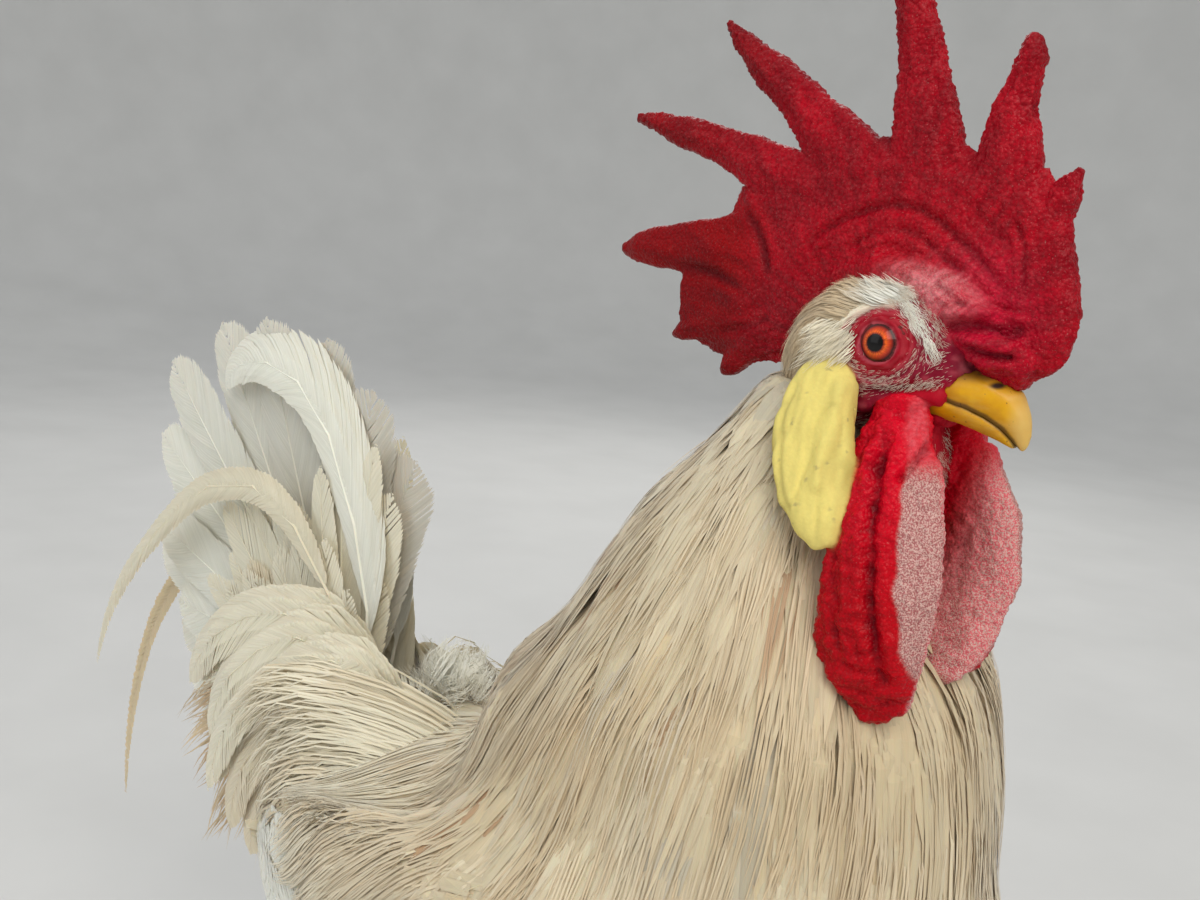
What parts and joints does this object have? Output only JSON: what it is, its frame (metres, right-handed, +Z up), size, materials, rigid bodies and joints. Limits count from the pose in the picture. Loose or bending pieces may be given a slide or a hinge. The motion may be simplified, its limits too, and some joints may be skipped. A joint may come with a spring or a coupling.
{
  "type": "rooster",
  "caption": "Standing rooster of the white Leghorn type with a tall pointed single comb, long wattles, pale earlobes, a full ivory hackle and an upright tail with curved plumes.",
  "frame": {"origin": "centre of the bounding box on the floor the feet stand on", "axes": "+Z up, +X the way the bird faces, +Y its left"},
  "size_m": [0.4894, 0.1846, 0.5182],
  "materials": {
    "feather_ivory": "soft matte feather",
    "feather_cream": "soft matte feather",
    "feather_white": "satin feather",
    "feather_buff": "soft matte feather",
    "comb_red": "moist granular skin",
    "face_skin": "soft skin with fine bristles",
    "lobe_cream": "smooth creased skin",
    "bill_horn": "satin horn",
    "eye_amber": "glossy",
    "leg_scales": "satin scutes",
    "claw_horn": "satin horn"
  },
  "bodies": {
    "root": {"bill_lower": "bill_horn", "bill_upper": "bill_horn", "claw_hind_L": "claw_horn", "claw_hind_R": "claw_horn", "claw_inner_L": "claw_horn", "claw_inner_R": "claw_horn", "claw_middle_L": "claw_horn", "claw_middle_R": "claw_horn", "claw_outer_L": "claw_horn", "claw_outer_R": "claw_horn", "comb": "comb_red", "covert_back_L": "feather_buff", "covert_back_R": "feather_buff", "earlobe_L": "lobe_cream", "earlobe_R": "lobe_cream", "eye_L": "eye_amber", "eye_R": "eye_amber", "foot_L": "leg_scales", "foot_R": "leg_scales", "head": "face_skin", "neck": "feather_ivory", "shank_L": "leg_scales", "shank_R": "leg_scales", "sickle_back_L": "feather_white", "sickle_back_R": "feather_white", "sickle_front_L": "feather_white", "sickle_front_R": "feather_white", "spur_L": "claw_horn", "spur_R": "claw_horn", "tail_fan": "feather_white", "thigh_L": "feather_cream", "thigh_R": "feather_cream", "trunk": "feather_cream", "wattle_L": "comb_red", "wattle_R": "comb_red", "wing_L": "feather_cream", "wing_R": "feather_cream"}
  },
  "joints": []
}
